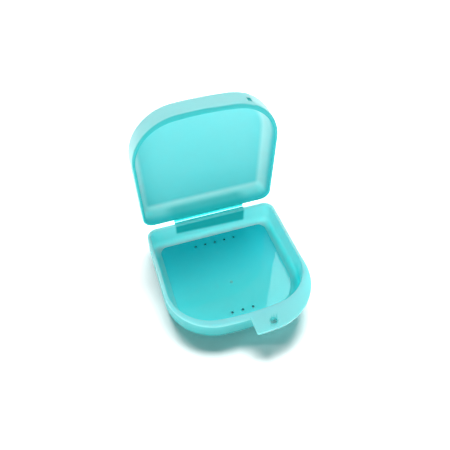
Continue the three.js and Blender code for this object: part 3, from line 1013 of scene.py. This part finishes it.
def film_tint(place, base, look):
    """Pale along the line where the film flexes."""
    return tinted(base, look.film, within(place.parts()[1], *FLEX_Y, LINE_FADE))


def floor_painted_shade(place, base, look):
    """Painted shade: deeper towards the hinge, where the open lid shades the floor."""
    return tinted(base, look.polished_shade, between(place.parts()[1], *FLOOR_Y))


def new_material(name):
    """A material, its tree and its shader."""
    material = bpy.data.materials.new(name)
    material.use_nodes = True
    return material, Tree(material.node_tree), material.node_tree.nodes["Principled BSDF"]


def satin_plastic(name, base, look, tint=None, depth=None, roughness=None, scatter=1):
    """Translucent plastic with the fine grain of a satin mould, or polished where roughness is given."""
    material, tree, shader = new_material(name)
    place = tree.add("ShaderNodeTexCoord", output="Object")
    clouds = tree.add("ShaderNodeTexNoise", None, {"Vector": place, **CLOUDS}, "Fac")
    tone = tinted(base, [min(1, value * CLOUD_PALE) for value in base], clouds)
    tree.fill(shader, {
        "Base Color": tint(place, tone, look) if tint else tone,
        "Subsurface Weight": scatter, "Subsurface Radius": LIGHT_REACH,
        "Subsurface Scale": depth or look.depth, "IOR": PLASTIC_IOR, "Specular IOR Level": PLASTIC_SHINE})
    if roughness is None:
        grain = tree.add("ShaderNodeTexNoise", None, {"Vector": place, **GRAIN}, "Fac")
        bump = tree.add("ShaderNodeBump", None, {
            "Height": grain, "Strength": GRAIN_STRENGTH, "Distance": GRAIN_DEPTH})
        roughness = (clouds - 0.5) * CLOUD_ROUGHNESS + look.satin_roughness
        tree.fill(shader, {"Normal": bump})
    tree.fill(shader, {"Roughness": roughness})
    return material


def ground_material(look):
    """White surface that keeps shadows and reads as white to the camera, with a painted teal glow in front
    of the case.
    """
    material, tree, shader = new_material("pale_ground")
    place = tree.add("ShaderNodeTexCoord", output="Object")
    away = tree.add("ShaderNodeVectorMath", {"operation": "LENGTH"}, {0: place}, "Value")
    from_front = tree.add("ShaderNodeVectorMath", {"operation": "DISTANCE"},
                          {0: place, 1: SHADE_PLACE}, "Value")
    # Painted light: a teal glow in the shadow in front of the case, seen by the camera alone
    glow = tinted(BLACK, look.shade, between(from_front, *SHADE_FADE))
    glow = tinted(glow, (look.lift,) * 3, between(away, look.lift_from, look.lift_to))
    glow = tinted(glow, WHITE, between(away, *FAR_FADE))
    tree.fill(shader, {
        "Base Color": (*look.floor, 1), "Roughness": FLOOR_ROUGHNESS, "Specular IOR Level": FLOOR_SHINE,
        "Emission Color": tinted(BLACK, glow, tree.seen()), "Emission Strength": 1})
    return material


def build_world(look):
    """White all round to the eye, at a lower strength as light."""
    world = bpy.data.worlds.new("studio")
    world.use_nodes = True
    bpy.context.scene.world = world
    tree = Tree(world.node_tree)
    tree.fill(world.node_tree.nodes["Background"], {
        "Color": (*WHITE, 1), "Strength": tree.seen() * (1 - look.ambient) + look.ambient})


def build_camera():
    camera = bpy.data.cameras.new("camera")
    camera.sensor_width = 36
    camera.lens = CAMERA_LENS
    camera.shift_x, camera.shift_y = CAMERA_SHIFT
    camera.clip_start = CAMERA_NEAR
    holder = new_object("camera", camera)
    holder.location = CAMERA_PLACE
    holder.rotation_euler = (CAMERA_TILT, 0, CAMERA_HEADING)
    bpy.context.scene.camera = holder


def soft_box(name, box, brightness, lit):
    """Rectangular light that lights one collection. At a brightness of 1 it looks white."""
    place, faces, width, height = box
    lamp = bpy.data.lights.new(name, "AREA")
    lamp.shape = "RECTANGLE"
    lamp.size, lamp.size_y = width, height
    lamp.energy = brightness * math.pi * width * height
    holder = new_object(name, lamp)
    holder.location = place
    holder.rotation_euler = (Vector(faces) - Vector(place)).to_track_quat("-Z", "Y").to_euler()
    holder.light_linking.receiver_collection = lit
    return holder


def build_lights(look):
    """Three soft boxes light the case alone: an upright one, whose left edge the polished floor mirrors, one
    overhead and one in front. A fourth lights the floor alone and gives it its shadow."""
    case_alone = bpy.data.collections.new(CASE_COLLECTION)
    floor_alone = bpy.data.collections.new(FLOOR_COLLECTION)
    soft_box("key_soft_box", KEY_BOX, look.key, case_alone)
    for name, box, brightness, lit in (
            ("top_soft_box", TOP_BOX, look.top, case_alone),
            ("fill_soft_box", FILL_BOX, look.fill, case_alone),
            ("floor_soft_box", FLOOR_BOX, look.floor_light, floor_alone)):
        soft_box(name, box, brightness, lit).visible_glossy = False


def settings(context):
    return context.scene.retainer_case


class RETAINER_OT_tray(bpy.types.Operator):
    """Builds the tray with its rim band, tab, cord hole, vents, gate mark and hinge land"""

    bl_idname = "retainer.tray"
    bl_label = "Tray"

    def execute(self, context):
        case = settings(context)
        look = case.look
        satin = satin_plastic("satin_shell", look.satin, look, shell_painted_shade_and_light)
        polished = satin_plastic("polished_floor", look.polished, look, floor_painted_shade, look.polished_depth,
                                 look.polished_roughness)
        # The vents' bores are painted dark, as shade inside the holes
        bore = satin_plastic("shaded_vent_bore", look.vent, look)
        tray = new_object("tray_shell", loft("tray_shell", *tray_rings(case)))
        for material in (satin, polished, bore):
            tray.data.materials.append(material)
        combine(tray, hinge_land_mesh(case), "UNION")
        combine(tray, gate_mark_tool(case), "UNION")
        combine(tray, cord_hole_tool(case), "DIFFERENCE")
        for row in vent_rows(case, bore):
            combine(tray, row, "DIFFERENCE")
        smooth(tray)
        bpy.data.collections[CASE_COLLECTION].objects.link(tray)
        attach(tray, "tray")
        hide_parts("base_tray")
        return {"FINISHED"}


class RETAINER_OT_lid(bpy.types.Operator):
    """Builds the lid with its thumb lip and notch, standing open"""

    bl_idname = "retainer.lid"
    bl_label = "Lid"

    def execute(self, context):
        case = settings(context)
        lid = new_object("lid_shell", loft("lid_shell", *lid_rings(case)))
        look = case.look
        lid.data.materials.append(satin_plastic("satin_lid", look.lid, look, lid_painted_shade_and_light,
                                                scatter=look.lid_scatter))
        combine(lid, notch_tool(case), "DIFFERENCE")
        to_open(lid.data)
        smooth(lid)
        bpy.data.collections[CASE_COLLECTION].objects.link(lid)
        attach(lid, "lid")
        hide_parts("lid_cover")
        return {"FINISHED"}


class RETAINER_OT_hinge(bpy.types.Operator):
    """Builds the living hinge's film between the tray and the lid"""

    bl_idname = "retainer.hinge"
    bl_label = "Living hinge"

    def execute(self, context):
        case = settings(context)
        film = new_object("hinge_film", film_mesh(case))
        film.data.materials.append(satin_plastic("flexed_film", case.look.deep_and_shade, case.look, film_tint))
        smooth(film)
        bpy.data.collections[CASE_COLLECTION].objects.link(film)
        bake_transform(film)
        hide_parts("living_hinge")
        return {"FINISHED"}


class RETAINER_OT_stage(bpy.types.Operator):
    """Sets up the white floor, the soft light and the camera"""

    bl_idname = "retainer.stage"
    bl_label = "Stage"

    def execute(self, context):
        look = settings(context).stage
        half = look.floor_size / 2
        mesh = bpy.data.meshes.new("ground")
        corners = [(-half, -half, 0), (half, -half, 0), (half, half, 0), (-half, half, 0)]
        mesh.from_pydata(corners, [], [(0, 1, 2, 3)])
        ground = new_object("ground", mesh)
        mesh.materials.append(ground_material(look))
        build_world(look)
        build_lights(look)
        bpy.data.collections[FLOOR_COLLECTION].objects.link(ground)
        build_camera()
        context.scene.view_settings.view_transform = "Standard"
        return {"FINISHED"}


class RETAINER_PT_panel(bpy.types.Panel):
    """Lists the pieces and their settings"""

    bl_idname = "RETAINER_PT_panel"
    bl_label = "Retainer Case"
    bl_space_type = "VIEW_3D"
    bl_region_type = "UI"
    bl_category = "Retainer Case"

    def draw(self, context):
        for operator in OPERATORS:
            self.layout.operator(operator.bl_idname)
        case = settings(context)
        for name in CaseSettings.__annotations__:
            box = self.layout.box()
            box.label(text=name.capitalize())
            group = getattr(case, name)
            for value in type(group).__annotations__:
                box.prop(group, value)


OPERATORS = (RETAINER_OT_stage, RETAINER_OT_tray, RETAINER_OT_lid, RETAINER_OT_hinge)
CLASSES = (RimSizes, TraySizes, VentSizes, LidSizes, HingeSizes, PlasticLook, StageLook, CaseSettings,
           *OPERATORS, RETAINER_PT_panel)


def register():
    for cls in CLASSES:
        bpy.utils.register_class(cls)
    bpy.types.Scene.retainer_case = PointerProperty(type=CaseSettings)


def unregister():
    del bpy.types.Scene.retainer_case
    for cls in reversed(CLASSES):
        bpy.utils.unregister_class(cls)


def main():
    register()
    bpy.ops.retainer.stage()
    bpy.ops.retainer.tray()
    bpy.ops.retainer.lid()
    bpy.ops.retainer.hinge()


if __name__ == "__main__":
    main()
